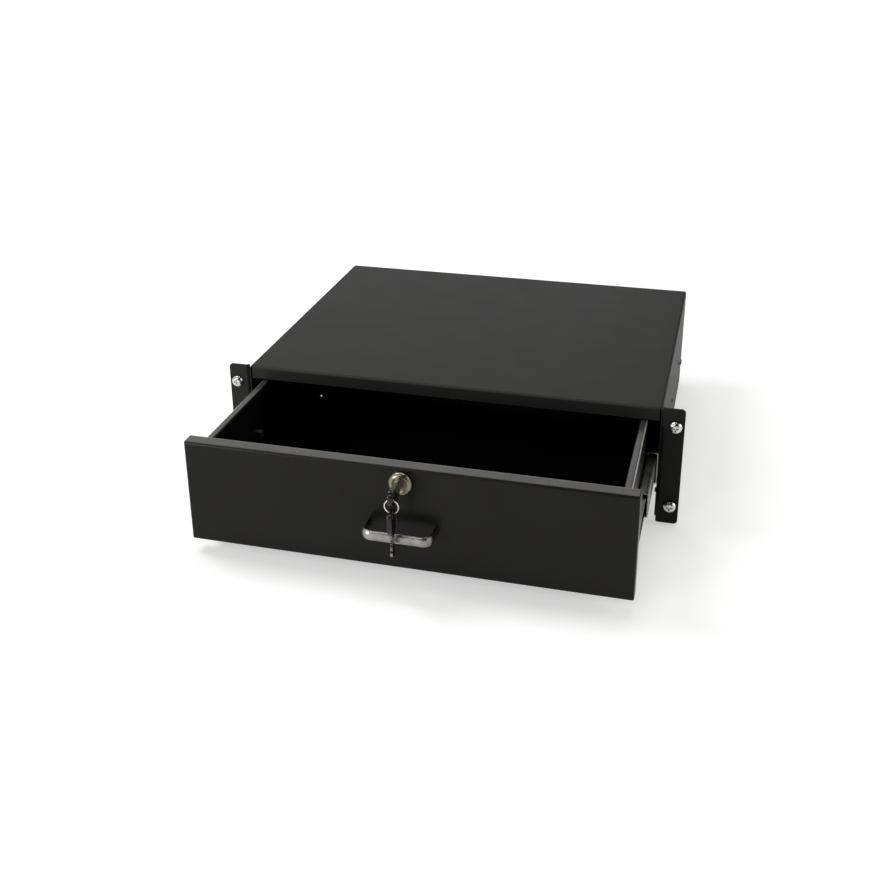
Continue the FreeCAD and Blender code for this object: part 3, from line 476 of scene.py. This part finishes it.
def makeLockNickel():
    look = lockNickel
    low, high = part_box("lock_body")
    material, tree = newMaterial("turned nickel plate")
    place = addNode(tree, "TexCoord").outputs["Object"]
    edge, soft = findEdges(tree, look["edge"])
    # distance from the lock's axis, which runs along y
    axis = (-(low[0] + high[0]) / 2, 0, -(low[2] + high[2]) / 2)
    centred = addNode(tree, "Mapping", {0: place, "Location": axis})
    flat = addNode(tree, "VectorMath", {0: centred.outputs[0], 1: (1, 0, 1)}, operation="MULTIPLY")
    away = addNode(tree, "VectorMath", {0: flat.outputs[0]}, operation="LENGTH")
    turns = addNode(tree, "Math", {0: away.outputs["Value"], 1: 2 * math.pi / (look["ring"] * mm)},
                    operation="MULTIPLY")
    rings = addNode(tree, "Math", {0: turns.outputs[0]}, operation="SINE")
    clouds = addNode(tree, "TexNoise", {"Vector": place, "Scale": 1 / (look["cloud"] * mm),
                                        "Detail": 3.0})
    tone = addNode(tree, "ValToRGB", {"Fac": clouds.outputs[0]},
                   stops=[(0.3, look["tones"][0]), (0.7, look["tones"][1])])
    # edges take a paler colour: partly wear, partly a painted highlight
    colour = addNode(tree, "Mix", {0: edge, 6: tone.outputs[0], 7: look["wearAndHighlight"]}, data_type="RGBA")
    rough = addNode(tree, "ValToRGB", {"Fac": clouds.outputs[0]},
                    stops=[(0.3, look["rough"][0]), (0.7, look["rough"][1])])
    skin = addNode(tree, "Bump", {"Height": rings.outputs[0], "Distance": look["ringDepth"] * mm,
                                  "Normal": soft})
    shader = addNode(tree, "BsdfPrincipled", {
        "Base Color": colour.outputs[2], "Metallic": 1.0, "Roughness": rough.outputs[0],
        "Normal": skin.outputs[0]})
    addNode(tree, "OutputMaterial", {"Surface": shader.outputs[0]})
    return material


wears = {
    "satin black powder coat": ["case_cover", "rear_panel", "right_rack_ear", "left_rack_ear"],
    "gloss black powder coat": ["drawer_box", "drawer_back"],
    "semi-gloss black enamel": ["drawer_front"],
    "moulded black ABS": ["key_bow", "spare_key_bow"],
    "moulded black nylon": ["rail_bumpers"],
    "bright zinc plate": ["right_cabinet_rail", "left_cabinet_rail", "right_middle_rail",
                          "left_middle_rail", "right_drawer_rail", "left_drawer_rail", "lock_nut",
                          "lock_cam"],
    "dull zinc fastener": ["cabinet_rail_screws", "drawer_rail_screws", "drawer_rail_nuts",
                           "front_panel_nuts", "handle_nuts", "handle_washers", "cam_screw"],
    "phosphated strip": ["right_outer_ball_cage", "left_outer_ball_cage", "right_inner_ball_cage",
                         "left_inner_ball_cage"],
    "lapped ball steel": ["right_outer_balls", "left_outer_balls", "right_inner_balls",
                          "left_inner_balls"],
    "nickel-plated screw steel": ["rack_screws"],
    "black oxide steel": ["rack_ear_rivets", "rear_panel_rivets"],
    "satin chrome plate": ["handle"],
    "nickel-plated key brass": ["key_blade", "spare_key_blade"],
    "nickel-plated spring wire": ["key_ring"],
}


def dressCadParts():
    made = {}
    for name, parts in wears.items():
        made[name] = makeCoat(name) if name in coats else makeMetal(name)
        dress(made[name], *parts)
    dress(makeLockNickel(), "lock_body", "lock_plug")
    return made


# split ring: flat spring wire wound almost twice round, sizes in mm
splitRing = {"turns": 1.93, "steps": 96, "startAngle": 205, "wireAlong": 0.46, "wireOut": 1.05,
             "wireGap": 0.02, "wireEdge": 0.12}


def makeSplitRing(material):
    low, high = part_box("key_ring")
    centre = (Vector(low) + Vector(high)) / 2
    along = splitRing["wireAlong"] * mm
    out = splitRing["wireOut"] * mm
    pitch = along + splitRing["wireGap"] * mm
    turns = splitRing["turns"]
    shape = bmesh.new()
    bmesh.ops.create_grid(shape, x_segments=1, y_segments=1, size=0.5)
    bmesh.ops.scale(shape, verts=shape.verts, vec=(out, along, 1))
    bmesh.ops.bevel(shape, geom=shape.verts[:], offset=splitRing["wireEdge"] * mm,
                    affect="VERTICES", segments=2, profile=0.5, material=-1)
    radius = (high[2] - low[2]) / 2 - out / 2
    bmesh.ops.translate(shape, verts=shape.verts, vec=(radius, -pitch * turns / 2, 0))
    bmesh.ops.rotate(shape, verts=shape.verts, cent=(0, 0, 0),
                     matrix=Matrix.Rotation(math.radians(splitRing["startAngle"]), 3, "Y"))
    first = shape.faces[:]
    bmesh.ops.spin(shape, geom=first, cent=(0, 0, 0), axis=(0, 1, 0),
                   dvec=(0, pitch * turns / splitRing["steps"], 0),
                   angle=2 * math.pi * turns, steps=splitRing["steps"], use_merge=False,
                   use_normal_flip=False, use_duplicate=False)
    bmesh.ops.translate(shape, verts=shape.verts, vec=centre)
    bmesh.ops.recalc_face_normals(shape, faces=shape.faces)
    piece = newPiece("splitRing", shape, material, "key_ring")
    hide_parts("key_ring")


# moulded grip of a key, sizes in mm: a rim runs round each face and round the hole
keyGrip = {"cornerR": 6.5, "cornerSteps": 8, "holeR": 3.0, "holeEdge": 5.0, "rim": 0.8,
           "draft": 0.1, "recess": 0.45, "outerEdge": 0.35, "rimEdge": 0.12}


def makeKeyGrip(name, node, body, material, turn):
    # made lying along x with the hole at the low end, then turned to where the CAD has it
    low, high = (Vector(corner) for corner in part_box(node))
    thick, width, length = sorted(high - low)
    steps = 4 * (keyGrip["cornerSteps"] + 1)
    shape = bmesh.new()
    bmesh.ops.create_grid(shape, x_segments=1, y_segments=1, size=0.5)
    bmesh.ops.scale(shape, verts=shape.verts, vec=(length, width, 1))
    bmesh.ops.bevel(shape, geom=shape.verts[:], offset=keyGrip["cornerR"] * mm,
                    affect="VERTICES", segments=keyGrip["cornerSteps"], profile=0.5, material=-1)
    bmesh.ops.delete(shape, geom=shape.faces[:], context="FACES_ONLY")
    holeX = keyGrip["holeEdge"] * mm - length / 2
    bmesh.ops.create_circle(shape, segments=steps, radius=keyGrip["holeR"] * mm,
                            matrix=Matrix.Translation((holeX, 0, 0)))
    bmesh.ops.bridge_loops(shape, edges=shape.edges[:])
    bmesh.ops.translate(shape, verts=shape.verts, vec=(0, 0, -thick / 2))
    grown = bmesh.ops.extrude_face_region(shape, geom=shape.faces[:], use_keep_orig=True)
    raised = [part for part in grown["geom"] if isinstance(part, bmesh.types.BMVert)]
    bmesh.ops.translate(shape, verts=raised, vec=(0, 0, thick))
    bmesh.ops.recalc_face_normals(shape, faces=shape.faces)
    flatOn, upright = 0.9, 0.1     # a normal's z on the two faces, and on the walls
    for way in (1, -1):
        side = [f for f in shape.faces if f.normal.z * way > flatOn]
        bmesh.ops.inset_region(shape, faces=side, thickness=keyGrip["rim"] * mm,
                               use_boundary=True, use_even_offset=True)
        bmesh.ops.inset_region(shape, faces=side, thickness=keyGrip["draft"] * mm,
                               depth=-keyGrip["recess"] * mm, use_boundary=True,
                               use_even_offset=True)
    # corners in the two faces, parted into the outline and what lies inside it
    hole = Vector((holeX, 0, 0))
    clearOfHole = keyGrip["holeR"] * 1.2 * mm
    cornerAngle = 1          # radians, well above the turn between two steps of the outline
    onFace = 0.01 * mm
    edges = [e for e in shape.edges if e.calc_face_angle(0) > cornerAngle
             and all(abs(abs(v.co.z) - thick / 2) < onFace for v in e.verts)]
    outline = [e for e in edges if min(abs(f.normal.z) for f in e.link_faces) < upright
               and all((v.co * Vector((1, 1, 0)) - hole).length > clearOfHole
                       for v in e.verts)]
    inner = [e for e in edges if e not in outline]
    bmesh.ops.bevel(shape, geom=inner, offset=keyGrip["rimEdge"] * mm, affect="EDGES",
                    segments=2, profile=0.5, material=-1)
    outline = [e for e in outline if e.is_valid]
    bmesh.ops.bevel(shape, geom=outline, offset=keyGrip["outerEdge"] * mm, affect="EDGES",
                    segments=3, profile=0.5, material=-1)
    bmesh.ops.transform(shape, verts=shape.verts,
                        matrix=Matrix.Translation((low + high) / 2) @ turn)
    piece = newPiece(name, shape, material, body)
    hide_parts(node)


makeCamera()
makeStudio()
print("camera, floor and lights are in")
finishes = dressCadParts()
print("finishes are on")
makeSplitRing(finishes["nickel-plated spring wire"])
print("split ring is made")
acrossX = Matrix.Rotation(math.radians(90), 4, "Y") @ Matrix.Rotation(math.radians(90), 4, "Z")
hanging = Matrix.Rotation(math.radians(90), 4, "Y")
makeKeyGrip("keyGrip", "key_bow", "key", finishes["moulded black ABS"], acrossX)
makeKeyGrip("spareKeyGrip", "spare_key_bow", "spare_key", finishes["moulded black ABS"], hanging)
print("key grips are made")
